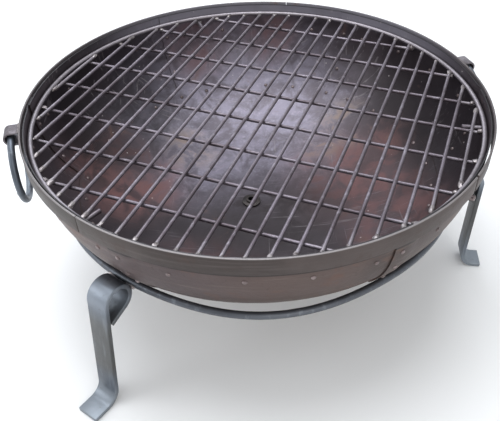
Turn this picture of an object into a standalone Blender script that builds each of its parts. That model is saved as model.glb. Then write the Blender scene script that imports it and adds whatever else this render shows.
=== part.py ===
"""Round fire bowl of riveted plates, with a lift-off bar grill, on a three-legged ring stand.

Metres, +Z up. The origin is the middle of the object's floor area, at floor level.
Azimuths are in degrees from +X towards +Y, about the bowl's upright axis.
"""

from math import cos, pi, radians, sin, sqrt

import bmesh
import bpy
from mathutils import Matrix, Vector

# Overall sizes
RIM_RADIUS = 0.400        # outside of the rim band
RIM_HEIGHT = 0.368        # top edge of the rim above the floor
BOWL_DEPTH = 0.246        # top edge of the rim to the underside of the dish
BOWL_FULLNESS = 2.5       # exponent of the dish's section: 2 is an ellipse, more is squarer
AXIS_PLACE = (-0.0125, -0.0214)   # the bowl's axis, from the middle of the floor area

# Clearances
WELD_GAP = 0.0003         # left between pieces that are welded, riveted or resting
HOOP_GAP = 0.0006         # between the band and the plates inside it

# Bowl
SHEET = 0.002             # thickness of the plates
PANEL_COUNT = 6
FIRST_SEAM = -62.0        # azimuth of one upright seam
SEAM_LAP = 4.5            # width of the raised edge of an upright lap, in degrees
SEAM_TUCK = 3.6           # how far the plate beneath runs in under it, in degrees
SEAM_JOG = 1.5            # over which a lapped edge steps back in, in degrees
COLUMN_STEP = 6.0         # spacing of the plates' facets, in degrees
PANEL_TOP_DROP = 0.004    # top edge of the plates below the rim's
PANEL_FOOT_DEPTH = 0.178  # lower edge of the side panels below the rim's top
BASE_EDGE_DEPTH = 0.158   # upper edge of the base plate below the rim's top

# Rim band
BAND_HEIGHT = 0.030
BAND_THICKNESS = 0.003
BAND_JOINTS = ((-129.0, 0.001), (-37.0, 0.005), (80.0, 0.001))   # azimuth and gap of each
BAND_STEP = 3.0
STUD_AZIMUTH = -37.0
STUD_DROP = 0.011         # axis of the joint stud below the band's lower edge
STUD_RADIUS = 0.0045
STUD_LENGTH = 0.010

# Drain
DRAIN_PLACE = -0.015      # along X from the bowl's axis
DRAIN_BORE_RADIUS = 0.0055
DRAIN_SOCKET_RADIUS = 0.010
DRAIN_FLANGE_RADIUS = 0.018
DRAIN_FLANGE_HEIGHT = 0.003
DRAIN_BOSS_HEIGHT = 0.007
DRAIN_TAIL_LENGTH = 0.016
DRAIN_NUT_RADIUS = 0.018
DRAIN_NUT_HEIGHT = 0.008
DRAIN_CLEARANCE = 0.0005

# Grill
GRILL_DEPTH = 0.021       # centre of the grill's hoop below the rim's top
GRILL_CLEARANCE = 0.002   # between the hoop and the plates round it
GRILL_HOOP_BAR = 0.004    # radius of the hoop's bar
GRILL_BAR = 0.003         # radius of the long bars
GRILL_BAR_COUNT = 25
GRILL_BAR_MARGIN = 0.0112 # left between the hoop and the outermost long bars
GRILL_BAR_SHIFT = 0.0047  # the middle bar from the hoop's centre
GRILL_CROSS_BAR = 0.003
GRILL_CROSS_COUNT = 8
GRILL_CROSS_MARGIN = 0.0714   # left between the hoop and the outermost cross bars
GRILL_CROSS_SHIFT = 0.0075 # the cross bars' middle from the hoop's centre
GRILL_TURN = 68.7         # azimuth that the long bars run along

# Pegs that carry the grill
PEG_AZIMUTHS = (-131.0, -11.0, 109.0)
PEG_RADIUS = 0.004
PEG_LENGTH = 0.040

# Handles
HANDLE_AZIMUTHS = (-168.0, 17.0)
HANDLE_BAR = 0.006        # radius of the ring's bar
HANDLE_RING_RADIUS = 0.060
EYE_CLEARANCE = 0.003     # round the bar, inside the strap's bend
EYE_OUT = 0.015           # centre of the bend out from the band
STRAP_THICKNESS = 0.003
STRAP_WIDTH = 0.028
STRAP_TOP_DROP = 0.004    # top of the strap below the rim's top

# Stand
STAND_RING_DROP = 0.150   # centre of the ring's bar below the rim's top
STAND_RING_BAR = 0.006
STAND_RING_BOW = 0.011    # how far the ring bows out from the dish, at most
BOW_AZIMUTH = -88.0       # middle of that bow
BOW_REACH = 34.0          # from its middle to where the ring meets the dish again, in degrees
LEG_AZIMUTHS = (-126.5, -6.5, 113.5)
LEG_WIDTH = 0.040
LEG_THICKNESS = 0.008
LEG_SPLAYS = (6.5, 0.0, 6.5)      # outward lean of each leg, in degrees
SCROLL_RADIUS = 0.028     # outside of the curl on top of a leg
SCROLL_DROP = 0.010       # centre of the curl below the centre of the ring's bar
SCROLL_END = 240.0        # how far round the curl is bent before its straight tail, in degrees
FOOT_BEND = 0.026         # radius of the foot's bend, at the middle of the bar
FOOT_FLATS = (0.027, 0.012, 0.018)    # straight end of each foot


def empty_scene():
    for item in list(bpy.data.objects):
        bpy.data.objects.remove(item)


def collection(name):
    made = bpy.data.collections.new(name)
    bpy.context.scene.collection.children.link(made)
    return made


def steel(name, colour, roughness, metallic):
    made = bpy.data.materials.new(name)
    made.use_nodes = True
    made.diffuse_color = (*colour, 1)
    surface = made.node_tree.nodes["Principled BSDF"]
    surface.inputs["Base Color"].default_value = (*colour, 1)
    surface.inputs["Roughness"].default_value = roughness
    surface.inputs["Metallic"].default_value = metallic
    return made


def empty(name, place, parent=None):
    made = bpy.data.objects.new(name, None)
    made.location = place
    made.parent = parent
    PARTS.objects.link(made)
    return made


def piece(name, mesh, material, parent, place=(0, 0, 0), azimuth=0.0):
    """A named object that holds the mesh, turned to its azimuth about Z."""
    made = bpy.data.objects.new(name, mesh)
    made.location = place
    made.rotation_euler.z = radians(azimuth)
    made.parent = parent
    mesh.materials.clear()
    mesh.materials.append(material)
    PARTS.objects.link(made)
    return made


def polar(radius, azimuth, height=0.0):
    return Vector((radius * cos(radians(azimuth)), radius * sin(radians(azimuth)), height))


def mesh_of(name, shape):
    """The finished bmesh as a mesh, with its faces out and smooth where they bend little."""
    bmesh.ops.recalc_face_normals(shape, faces=shape.faces)
    made = bpy.data.meshes.new(name)
    shape.to_mesh(made)
    shape.free()
    made.shade_smooth()
    made.set_sharp_from_angle(angle=radians(40))
    return made


def rod_mesh(name, start, end, radius, sides=10):
    """A round bar from one point to another."""
    along = end - start
    turn = along.to_track_quat("Z", "Y").to_matrix().to_4x4()
    place = Matrix.Translation((start + end) / 2) @ turn
    shape = bmesh.new()
    bmesh.ops.create_cone(
        shape, cap_ends=True, segments=sides, radius1=radius, radius2=radius,
        depth=along.length, matrix=place,
    )
    return mesh_of(name, shape)


def loft_mesh(name, sections):
    """A solid through equal-sized closed sections, capped at both ends."""
    shape = bmesh.new()
    rings = [[shape.verts.new(point) for point in section] for section in sections]
    count = len(sections[0])
    for ring, following in zip(rings, rings[1:]):
        for i in range(count):
            j = (i + 1) % count
            shape.faces.new((ring[i], ring[j], following[j], following[i]))
    for ring in (rings[0], rings[-1]):
        # The sections are thin walls, so each cap is a strip of quads between its two sides.
        for i in range(count // 2 - 1):
            shape.faces.new((ring[i], ring[i + 1], ring[count - 2 - i], ring[count - 1 - i]))
    return mesh_of(name, shape)


def torus_mesh(name, radius, bar, around, sides):
    bpy.ops.mesh.primitive_torus_add(
        major_radius=radius, minor_radius=bar, major_segments=around, minor_segments=sides,
    )
    made = bpy.context.object.data
    bpy.data.objects.remove(bpy.context.object)
    made.name = name
    made.shade_smooth()
    return made


def turned(name, profile, material, parent, place, steps):
    """A solid turned about Z: the profile runs down its outer side."""
    mesh = bpy.data.meshes.new(name)
    edges = [(i, i + 1) for i in range(len(profile) - 1)]
    if profile[0][0] > 0:
        edges.append((len(profile) - 1, 0))
    mesh.from_pydata([(radius, 0, height) for radius, height in profile], edges, [])
    made = piece(name, mesh, material, parent, place)
    screw = made.modifiers.new("turn", "SCREW")
    screw.steps = steps
    screw.render_steps = steps
    screw.use_merge_vertices = True
    screw.merge_threshold = 0.00005
    screw.use_smooth_shade = True
    return made


# The dish's section: a superellipse, measured at the outside of the side panels.
DISH_RADIUS = RIM_RADIUS - BAND_THICKNESS - HOOP_GAP - SHEET - WELD_GAP


def dish_point(depth, inset=0.0):
    """(radius, height below the rim, negative) on the dish at a depth, moved in along its normal."""
    share = min(depth / BOWL_DEPTH, 1.0)
    radius = DISH_RADIUS * (1 - share ** BOWL_FULLNESS) ** (1 / BOWL_FULLNESS)
    slope_out = (radius / DISH_RADIUS) ** (BOWL_FULLNESS - 1) / DISH_RADIUS
    slope_down = share ** (BOWL_FULLNESS - 1) / BOWL_DEPTH
    length = sqrt(slope_out ** 2 + slope_down ** 2)
    return radius - inset * slope_out / length, -depth + inset * slope_down / length


def depth_at(radius):
    """Depth of the dish's outside at a radius."""
    return BOWL_DEPTH * (1 - (radius / DISH_RADIUS) ** BOWL_FULLNESS) ** (1 / BOWL_FULLNESS)


def between(start, end, steps):
    return [start + (end - start) * i / steps for i in range(steps + 1)]


def seat_radius(height, bar, out):
    """Radius of a round bar at this height that just clears the dish, grown outward by out."""
    low, high = 0.01 * BOWL_DEPTH, 0.99 * BOWL_DEPTH
    for _ in range(60):
        middle = (low + high) / 2
        if dish_point(middle, -(bar + out))[1] > height:
            low = middle
        else:
            high = middle
    return dish_point(low, -(bar + out))[0]


def make_side_panels(material, parent):
    """Six plates round the dish. Each one's first edge laps over the end of the plate before it."""
    span = 360 / PANEL_COUNT
    depths = between(PANEL_TOP_DROP, PANEL_FOOT_DEPTH, 9)
    jog = SHEET + WELD_GAP
    columns = [0.0, SEAM_LAP]
    columns += [COLUMN_STEP * i for i in range(1, round(span / COLUMN_STEP) + 1)]
    columns.append(span + SEAM_TUCK)
    for number in range(PANEL_COUNT):
        sections = []
        for column in columns:
            step = max(0.0, min(1.0, (SEAM_LAP + SEAM_JOG - column) / SEAM_JOG))
            azimuth = FIRST_SEAM + number * span + column
            outer = [dish_point(depth, -jog * step) for depth in depths]
            inner = [dish_point(depth, SHEET - jog * step) for depth in depths]
            sections.append([polar(r, azimuth, z) for r, z in outer + inner[::-1]])
        mesh = loft_mesh("side_panel", sections)
        piece(f"side_panel_{number + 1}", mesh, material, parent)


def make_base_plate(material, parent):
    """The dish's middle, lapped inside the side panels, with a hole for the drain."""
    inset = SHEET + WELD_GAP
    edge = dish_point(BASE_EDGE_DEPTH)[0]
    radii = between(edge, 0.0, 11)
    outer = [dish_point(depth_at(radius), inset) for radius in radii]
    inner = [dish_point(depth_at(radius), inset + SHEET) for radius in radii]
    profile = [(max(radius, 0.0), height) for radius, height in inner[::-1] + outer]
    profile[0] = (0.0, profile[0][1])
    profile[-1] = (0.0, profile[-1][1])
    steps = round(360 / COLUMN_STEP)
    plate = turned("base_plate", profile, material, parent, (0, 0, 0), steps)
    plate.rotation_euler.z = radians(FIRST_SEAM)
    hole = rod_mesh(
        "drain_hole",
        Vector((DRAIN_PLACE, 0, RIM_HEIGHT - BOWL_DEPTH - SHEET)),
        Vector((DRAIN_PLACE, 0, RIM_HEIGHT - BOWL_DEPTH + 5 * SHEET)),
        DRAIN_SOCKET_RADIUS + DRAIN_CLEARANCE, 24,
    )
    cutter = bpy.data.objects.new("drain_hole", hole)
    cutter.location = (*AXIS_PLACE, 0)
    cutter.hide_render = True
    cutter.display_type = "WIRE"
    CUTTERS.objects.link(cutter)
    cut = plate.modifiers.new("drain hole", "BOOLEAN")
    cut.object = cutter


def make_drain(socket_material, nut_material, parent):
    """A flanged socket through the base plate, held from below by a ring nut."""
    plate_top = -BOWL_DEPTH + 2 * (SHEET + WELD_GAP)
    plate_foot = -BOWL_DEPTH + SHEET + WELD_GAP
    # The plate rises a little away from the bowl's axis, so the flange sits clear of that rise.
    rim_of_flange = abs(DRAIN_PLACE) + DRAIN_FLANGE_RADIUS
    rise = BOWL_DEPTH - depth_at(rim_of_flange)
    low = plate_top + rise
    top = low + DRAIN_FLANGE_HEIGHT
    foot = plate_foot - DRAIN_TAIL_LENGTH
    socket = [
        (DRAIN_BORE_RADIUS, top + DRAIN_BOSS_HEIGHT - DRAIN_FLANGE_HEIGHT),
        (DRAIN_SOCKET_RADIUS, top + DRAIN_BOSS_HEIGHT - DRAIN_FLANGE_HEIGHT),
        (DRAIN_SOCKET_RADIUS, top),
        (DRAIN_FLANGE_RADIUS, top),
        (DRAIN_FLANGE_RADIUS, low),
        (DRAIN_SOCKET_RADIUS, low),
        (DRAIN_SOCKET_RADIUS, foot),
        (DRAIN_BORE_RADIUS, foot),
    ]
    turned("drain_socket", socket, socket_material, parent, (DRAIN_PLACE, 0, 0), 24)
    nut_top = plate_foot - WELD_GAP
    bore = DRAIN_SOCKET_RADIUS + DRAIN_CLEARANCE
    nut = [
        (bore, nut_top),
        (DRAIN_NUT_RADIUS, nut_top),
        (DRAIN_NUT_RADIUS, nut_top - DRAIN_NUT_HEIGHT),
        (bore, nut_top - DRAIN_NUT_HEIGHT),
    ]
    turned("drain_ring_nut", nut, nut_material, parent, (DRAIN_PLACE, 0, 0), 24)


def make_rim_band(material, parent):
    """A flat hoop in three lengths, with a gap at each joint."""
    inner = RIM_RADIUS - BAND_THICKNESS
    section = (
        (RIM_RADIUS, 0.0), (RIM_RADIUS, -BAND_HEIGHT),
        (inner, -BAND_HEIGHT), (inner, 0.0),
    )
    following = BAND_JOINTS[1:] + ((BAND_JOINTS[0][0] + 360, BAND_JOINTS[0][1]),)
    for number, (joint, next_joint) in enumerate(zip(BAND_JOINTS, following), 1):
        start = joint[0] + (joint[1] / 2 / RIM_RADIUS) * 180 / pi
        end = next_joint[0] - (next_joint[1] / 2 / RIM_RADIUS) * 180 / pi
        stops = between(start, end, round((end - start) / BAND_STEP))
        sections = [[polar(r, azimuth, z) for r, z in section] for azimuth in stops]
        piece(f"rim_band_{number}", loft_mesh("rim_band", sections), material, parent)


def make_joint_stud(material, parent):
    """A round stud on the wall just under the band, at its open joint."""
    depth = BAND_HEIGHT + STUD_DROP
    root = dish_point(depth)[0] + WELD_GAP
    mesh = rod_mesh(
        "joint_stud", polar(root, STUD_AZIMUTH, -depth),
        polar(root + STUD_LENGTH, STUD_AZIMUTH, -depth), STUD_RADIUS, 12,
    )
    piece("joint_stud", mesh, material, parent)


def make_grill_pegs(material, parent):
    """Three rods on the inside of the wall, under the grill's hoop."""
    height = -GRILL_DEPTH - GRILL_HOOP_BAR - WELD_GAP - PEG_RADIUS
    # The flat end clears the wall's facets, which sag inward and lean by half a facet's turn.
    half_facet = radians(COLUMN_STEP / 2)
    wall = dish_point(-height + PEG_RADIUS, SHEET)[0] * cos(half_facet)
    wall -= WELD_GAP + PEG_RADIUS * sin(half_facet)
    for number, azimuth in enumerate(PEG_AZIMUTHS, 1):
        mesh = rod_mesh(
            "grill_peg", Vector((wall, 0, 0)), Vector((wall - PEG_LENGTH, 0, 0)), PEG_RADIUS, 12,
        )
        piece(f"grill_peg_{number}", mesh, material, parent, (0, 0, height), azimuth)


def make_grill(hoop_material, bar_material, parent):
    """A round hoop on cross bars, which also carry the long bars inside it. The origin is the hoop's."""
    hoop_radius = dish_point(GRILL_DEPTH, SHEET)[0] - GRILL_CLEARANCE - GRILL_HOOP_BAR
    hoop = torus_mesh("grill_hoop", hoop_radius, GRILL_HOOP_BAR, 96, 8)
    piece("grill_hoop", hoop, hoop_material, parent)
    inside = hoop_radius - GRILL_HOOP_BAR - WELD_GAP
    cross_height = -GRILL_HOOP_BAR - WELD_GAP - GRILL_CROSS_BAR
    bar_height = cross_height + GRILL_CROSS_BAR + WELD_GAP + GRILL_BAR
    bar_spread = inside - GRILL_BAR - GRILL_BAR_MARGIN
    for number, place in enumerate(between(-bar_spread, bar_spread, GRILL_BAR_COUNT - 1)):
        side = GRILL_BAR_SHIFT + place
        reach = sqrt(inside ** 2 - (abs(side) + GRILL_BAR) ** 2)
        mesh = rod_mesh(
            "grill_bar", Vector((-reach, side, 0)), Vector((reach, side, 0)), GRILL_BAR,
        )
        height = (0, 0, bar_height)
        piece(f"grill_bar_{number + 1:02d}", mesh, bar_material, parent, height, GRILL_TURN)
    cross_spread = inside - GRILL_CROSS_BAR - GRILL_CROSS_MARGIN
    for number, place in enumerate(between(-cross_spread, cross_spread, GRILL_CROSS_COUNT - 1)):
        along = GRILL_CROSS_SHIFT + place
        reach = sqrt(hoop_radius ** 2 - (abs(along) + GRILL_CROSS_BAR) ** 2)
        mesh = rod_mesh(
            "grill_cross_bar", Vector((along, -reach, 0)), Vector((along, reach, 0)),
            GRILL_CROSS_BAR,
        )
        height = (0, 0, cross_height)
        piece(f"grill_cross_bar_{number + 1}", mesh, bar_material, parent, height, GRILL_TURN)


def make_handles(strap_material, ring_material, parent):
    """Two drop rings, each hanging in a strap bent round its bar. A ring's origin is on its hinge."""
    eye_radius = HANDLE_BAR + EYE_CLEARANCE
    strap_radius = eye_radius + STRAP_THICKNESS
    eye_height = -STRAP_TOP_DROP - strap_radius
    root = WELD_GAP - EYE_OUT
    quarter_turns = [radians(angle) for angle in between(90, -90, 12)]
    outer = [(strap_radius * cos(turn), strap_radius * sin(turn)) for turn in quarter_turns]
    inner = [(eye_radius * cos(turn), eye_radius * sin(turn)) for turn in quarter_turns]
    outline = [(root, strap_radius), *outer, (root, -strap_radius)]
    outline += [(root, -eye_radius), *inner[::-1], (root, eye_radius)]
    ring_mesh = torus_mesh("handle_ring", HANDLE_RING_RADIUS, HANDLE_BAR, 36, 8)
    upright = Matrix.Translation((0, 0, -HANDLE_RING_RADIUS)) @ Matrix.Rotation(pi / 2, 4, "Y")
    ring_mesh.transform(upright)
    for number, azimuth in enumerate(HANDLE_AZIMUTHS, 1):
        sections = [
            [Vector((out, side, up)) for out, up in outline]
            for side in (-STRAP_WIDTH / 2, STRAP_WIDTH / 2)
        ]
        place = polar(RIM_RADIUS + EYE_OUT, azimuth, eye_height)
        strap_mesh = loft_mesh("handle_strap", sections)
        piece(f"handle_strap_{number}", strap_mesh, strap_material, parent, place, azimuth)
        piece(f"handle_ring_{number}", ring_mesh, ring_material, parent, place, azimuth)


def stand_ring_radius(azimuth):
    """The ring follows the dish, just clear of its laps, but bows out over one stretch."""
    seat = seat_radius(-STAND_RING_DROP, STAND_RING_BAR, SHEET + 2 * WELD_GAP)
    from_bow = abs((azimuth - BOW_AZIMUTH + 180) % 360 - 180)
    if from_bow >= BOW_REACH:
        return seat
    return seat + STAND_RING_BOW * (1 + cos(pi * from_bow / BOW_REACH)) / 2


def make_stand_ring(material, parent):
    """One round bar bent into a closed ring."""
    curve = bpy.data.curves.new("stand_ring", "CURVE")
    curve.dimensions = "3D"
    curve.bevel_depth = STAND_RING_BAR
    curve.bevel_resolution = 2
    count = 120
    line = curve.splines.new("POLY")
    line.points.add(count - 1)
    for i, point in enumerate(line.points):
        azimuth = 360 * i / count
        point.co = (*polar(stand_ring_radius(azimuth), azimuth), 1)
    line.use_cyclic_u = True
    piece("stand_ring", curve, material, parent, (0, 0, RIM_HEIGHT - STAND_RING_DROP))


def leg_line(ring_radius, splay, flat):
    """The leg's centre line in its upright plane, from the curl's tail to the toe, as (out, up)."""
    middle = SCROLL_RADIUS - LEG_THICKNESS / 2
    reach = SCROLL_RADIUS + STAND_RING_BAR + WELD_GAP
    height = RIM_HEIGHT - STAND_RING_DROP - SCROLL_DROP
    centre = Vector((ring_radius + sqrt(reach ** 2 - SCROLL_DROP ** 2), height))
    turns = [radians(a) for a in between(SCROLL_END + splay, splay, 24)]
    line = [centre + middle * Vector((cos(a), sin(a))) for a in turns]
    # The tail runs straight on from the curl until it meets the leg's inner face.
    bent = radians(SCROLL_END)
    tail = ((middle - LEG_THICKNESS / 2) * (1 - cos(bent)) - 2 * WELD_GAP) / -sin(bent)
    line.insert(0, line[0] + tail * Vector((-sin(turns[0]), cos(turns[0]))))
    bend_height = LEG_THICKNESS / 2 + FOOT_BEND
    drop = line[-1].y - bend_height
    lean = radians(splay)
    bend = Vector((line[-1].x + drop * sin(lean) / cos(lean) + FOOT_BEND / cos(lean), bend_height))
    for a in between(180 + splay, 270, 9):
        line.append(bend + FOOT_BEND * Vector((cos(radians(a)), sin(radians(a)))))
    line.append(line[-1] + Vector((flat, 0)))
    return line


def sides_of(line, thickness):
    """The two edges of a strip of this thickness that follows the line."""
    left, right = [], []
    for i, point in enumerate(line):
        before, after = line[max(i - 1, 0)], line[min(i + 1, len(line) - 1)]
        along = (after - before).normalized()
        across = Vector((-along.y, along.x)) * thickness / 2
        left.append(point + across)
        right.append(point - across)
    return left, right


def make_legs(material, parent):
    """Three flat bars, each curled over at the top against the ring and bent out at the foot."""
    legs = zip(LEG_AZIMUTHS, LEG_SPLAYS, FOOT_FLATS)
    for number, (azimuth, splay, flat) in enumerate(legs, 1):
        line = leg_line(stand_ring_radius(azimuth), splay, flat)
        left, right = sides_of(line, LEG_THICKNESS)
        sections = [
            [Vector((point.x, side, point.y)) for point in left + right[::-1]]
            for side in (-LEG_WIDTH / 2, LEG_WIDTH / 2)
        ]
        piece(f"leg_{number}", loft_mesh("leg", sections), material, parent, azimuth=azimuth)


empty_scene()
PARTS = collection("fire_bowl")
CUTTERS = collection("cutters")

plate_steel = steel("plate_steel", (0.085, 0.066, 0.060), 0.42, 0.85)
band_steel = steel("band_steel", (0.130, 0.112, 0.100), 0.45, 0.85)
bar_steel = steel("bar_steel", (0.185, 0.170, 0.180), 0.38, 0.90)
stand_steel = steel("stand_steel", (0.150, 0.170, 0.195), 0.36, 0.90)
fitting_steel = steel("fitting_steel", (0.060, 0.056, 0.055), 0.50, 0.80)

stand = empty("stand_place", (*AXIS_PLACE, 0))
bowl = empty("bowl_place", (0, 0, RIM_HEIGHT), stand)
grill = empty("grill_place", (0, 0, -GRILL_DEPTH), bowl)

make_stand_ring(stand_steel, stand)
make_legs(stand_steel, stand)
make_base_plate(plate_steel, bowl)
make_side_panels(plate_steel, bowl)
make_rim_band(band_steel, bowl)
make_joint_stud(band_steel, bowl)
make_grill_pegs(bar_steel, bowl)
make_drain(fitting_steel, fitting_steel, bowl)
make_handles(band_steel, stand_steel, bowl)
make_grill(bar_steel, bar_steel, grill)
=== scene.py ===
"""Riveted fire bowl with a lift-off bar grill on a three-legged ring stand, as it looks new.

Metres, +Z up. Every shape is made about the bowl's upright axis and then moved to its place.
"""

from functools import reduce
from math import atan2, cos, degrees, hypot, pi, radians, sin, sqrt
from random import Random

import bmesh
import bpy
from mathutils import Matrix, Vector, noise


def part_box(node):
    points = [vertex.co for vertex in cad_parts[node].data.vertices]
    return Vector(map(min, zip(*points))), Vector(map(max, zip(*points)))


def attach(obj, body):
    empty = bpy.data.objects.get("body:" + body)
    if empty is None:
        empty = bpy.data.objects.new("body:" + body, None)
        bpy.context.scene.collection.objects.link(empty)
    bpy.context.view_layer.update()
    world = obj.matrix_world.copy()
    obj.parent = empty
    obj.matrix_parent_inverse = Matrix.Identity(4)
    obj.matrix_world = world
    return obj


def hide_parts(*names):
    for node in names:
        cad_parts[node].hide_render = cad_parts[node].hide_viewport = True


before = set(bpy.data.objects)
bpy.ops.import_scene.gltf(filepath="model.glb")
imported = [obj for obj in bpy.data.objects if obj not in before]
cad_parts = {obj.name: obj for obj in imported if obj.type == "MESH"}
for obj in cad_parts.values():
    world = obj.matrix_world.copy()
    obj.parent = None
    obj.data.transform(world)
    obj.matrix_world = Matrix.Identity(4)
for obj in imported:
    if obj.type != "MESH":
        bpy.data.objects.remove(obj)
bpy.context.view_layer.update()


# The view: from the front, well above the rim, with a wide soft light overhead and dimmer
# light from behind, the front and the left, as under a bright, overcast sky.
VIEW_PLACE = (-0.0125, -0.97985, 0.93586)
VIEW_HEADING = -0.191
VIEW_TILT = 49.30
VIEW_ROLL = -1.067

view = bpy.data.cameras.new("view")
view.sensor_width = 36
view.lens = 45.488
view.shift_x = -0.02139
view.shift_y = -0.00733
camera = bpy.data.objects.new("view", view)
camera.matrix_world = (
    Matrix.Translation(VIEW_PLACE)
    @ Matrix.Rotation(radians(VIEW_HEADING), 4, "Z")
    @ Matrix.Rotation(radians(VIEW_TILT), 4, "X")
    @ Matrix.Rotation(radians(VIEW_ROLL), 4, "Z")
)
bpy.context.scene.collection.objects.link(camera)
bpy.context.scene.camera = camera


def soft_light(name, place, aim, size, watts, colour):
    lamp = bpy.data.lights.new(name, "AREA")
    lamp.shape = "DISK"
    lamp.size = size
    lamp.energy = watts
    lamp.color = colour
    made = bpy.data.objects.new(name, lamp)
    turn = (Vector(aim) - Vector(place)).to_track_quat("-Z", "Y").to_matrix().to_4x4()
    made.matrix_world = Matrix.Translation(place) @ turn
    bpy.context.scene.collection.objects.link(made)


soft_light("sky_above", (-0.35, 0.45, 3.0), (-0.05, 0.05, 0.2), 2.6, 78, (0.92, 0.95, 1.0))
soft_light("sky_behind", (-0.9, 3.4, 2.0), (-0.05, 0.1, 0.2), 2.4, 34, (0.86, 0.90, 1.0))
soft_light("sky_left", (-2.8, -0.6, 1.6), (0, 0, 0.2), 2.0, 26, (0.93, 0.96, 1.0))
soft_light("sky_front", (0.9, -3.0, 1.6), (0, 0, 0.2), 2.6, 26, (1.0, 0.97, 0.93))

sky = bpy.data.worlds.new("sky")
sky.use_nodes = True
sky.node_tree.nodes["Background"].inputs["Color"].default_value = (0.93, 0.96, 1.0, 1)
sky.node_tree.nodes["Background"].inputs["Strength"].default_value = 0.75
bpy.context.scene.world = sky
bpy.context.scene.view_settings.view_transform = "Standard"


# The floor: a plain pale sheet that the stand's three feet rest on.
FLOOR_RADIUS = 9.0

floor_shape = bmesh.new()
bmesh.ops.create_circle(floor_shape, cap_ends=True, segments=96, radius=FLOOR_RADIUS)
floor_mesh = bpy.data.meshes.new("floor")
floor_shape.to_mesh(floor_mesh)
floor_shape.free()
floor_paint = bpy.data.materials.new("floor_paint")
floor_paint.use_nodes = True
floor_surface = floor_paint.node_tree.nodes["Principled BSDF"]
floor_surface.inputs["Base Color"].default_value = (0.86, 0.86, 0.85, 1)
floor_surface.inputs["Roughness"].default_value = 0.9
floor_mesh.materials.append(floor_paint)
floor = bpy.data.objects.new("floor", floor_mesh)
bpy.context.scene.collection.objects.link(floor)


# The stand's ring: one 12 mm round bar, bent by hand into a hoop that follows the bowl and
# bows out from it over one stretch at the front. Blue-grey mill scale, satin.
AXIS = (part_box("grill_hoop")[0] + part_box("grill_hoop")[1]) / 2
AXIS.z = 0
RIM_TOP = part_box("rim_band_1")[1].z
RING_HEIGHT = (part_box("stand_ring")[0].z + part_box("stand_ring")[1].z) / 2
RING_BAR = (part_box("stand_ring")[1].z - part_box("stand_ring")[0].z) / 2
RING_SEAT = 0.35515
RING_BOW = 0.011
BOW_AZIMUTH = -88.0
BOW_REACH = 34.0


class Tone:
    """A number, colour or place on its way through a finish's nodes."""

    def __init__(self, tree, socket):
        self.tree = tree
        self.socket = socket

    def node(self, kind, settings, sockets, output=0):
        made = self.tree.nodes.new(kind)
        for name, value in settings.items():
            setattr(made, name, value)
        for name, value in sockets.items():
            if isinstance(value, Tone):
                self.tree.links.new(value.socket, made.inputs[name])
            else:
                made.inputs[name].default_value = value
        return Tone(self.tree, made.outputs[output])

    def figure(self, operation, first, second):
        return self.node("ShaderNodeMath", {"operation": operation}, {0: first, 1: second})

    def __add__(self, other):
        return self.figure("ADD", self, other)

    def __sub__(self, other):
        return self.figure("SUBTRACT", self, other)

    def __mul__(self, other):
        return self.figure("MULTIPLY", self, other)

    def __rsub__(self, other):
        return self.figure("SUBTRACT", other, self)

    __radd__ = __add__
    __rmul__ = __mul__

    def most(self, other):
        return self.figure("MAXIMUM", self, other)

    def rise(self, low, high):
        """0 up to low, 1 from high on, and smooth between."""
        ends = {"Value": self, "From Min": low, "From Max": high}
        return self.node("ShaderNodeMapRange", {"interpolation_type": "SMOOTHSTEP"}, ends)

    def paint(self, under, over):
        """The colour under, covered by the colour over as far as this number says."""
        colours = {0: self, 6: under, 7: over}
        return self.node("ShaderNodeMix", {"data_type": "RGBA"}, colours, 2)

    def cloud(self, scale, detail=3.0, rough=0.55, warp=0.0):
        """Soft noise of about 0.3 to 0.7 at this place."""
        grain = {
            "Vector": self, "Scale": scale, "Detail": detail, "Roughness": rough,
            "Distortion": warp,
        }
        return self.node("ShaderNodeTexNoise", {}, grain)

    def drawn(self, size, turn=(0.0, 0.0, 0.0)):
        """This place, turned and then stretched, so that a noise runs in streaks."""
        return self.node(
            "ShaderNodeMapping", {}, {"Vector": self, "Rotation": turn, "Scale": size},
        )

    def near(self, spot, inner, outer):
        """1 within inner of a spot, and 0 from outer on."""
        gap = self.node(
            "ShaderNodeVectorMath", {"operation": "DISTANCE"}, {0: self, 1: spot}, "Value",
        )
        return 1 - gap.rise(inner, outer)

    def beside(self, spot, inner, outer):
        """The same, by the distance from the upright line through the spot."""
        return self.drawn((1.0, 1.0, 0.0)).near(spot, inner, outer)

    def patches(self, *spots):
        """The most of several (spot, inner, outer, strength) patches."""
        return reduce(Tone.most, [self.near(*spot[:3]) * spot[3] for spot in spots])

    def height(self):
        return self.node("ShaderNodeSeparateXYZ", {}, {0: self}, 2)

    def pits(self, scale):
        """Distance to the nearest of many scattered points."""
        grain = {"Vector": self, "Scale": scale}
        return self.node("ShaderNodeTexVoronoi", {}, grain)


def new_finish(name):
    """An empty finish, and the place that its patterns read, from the bowl's axis."""
    made = bpy.data.materials.new(name)
    made.use_nodes = True
    where = made.node_tree.nodes.new("ShaderNodeTexCoord")
    place = Tone(made.node_tree, where.outputs["Object"])
    return made, place.node("ShaderNodeVectorMath", {"operation": "SUBTRACT"}, {0: place, 1: AXIS})


def set_finish(made, colour, roughness, metallic, relief, depth):
    """Joins the varying colour, roughness and relief to the surface."""
    tree = made.node_tree
    surface = tree.nodes["Principled BSDF"]
    tree.links.new(colour.socket, surface.inputs["Base Color"])
    tree.links.new(roughness.socket, surface.inputs["Roughness"])
    surface.inputs["Metallic"].default_value = metallic
    raised = relief.node(
        "ShaderNodeBump", {}, {"Strength": 1.0, "Distance": depth, "Height": relief},
    )
    tree.links.new(raised.socket, surface.inputs["Normal"])
    return made


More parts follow.
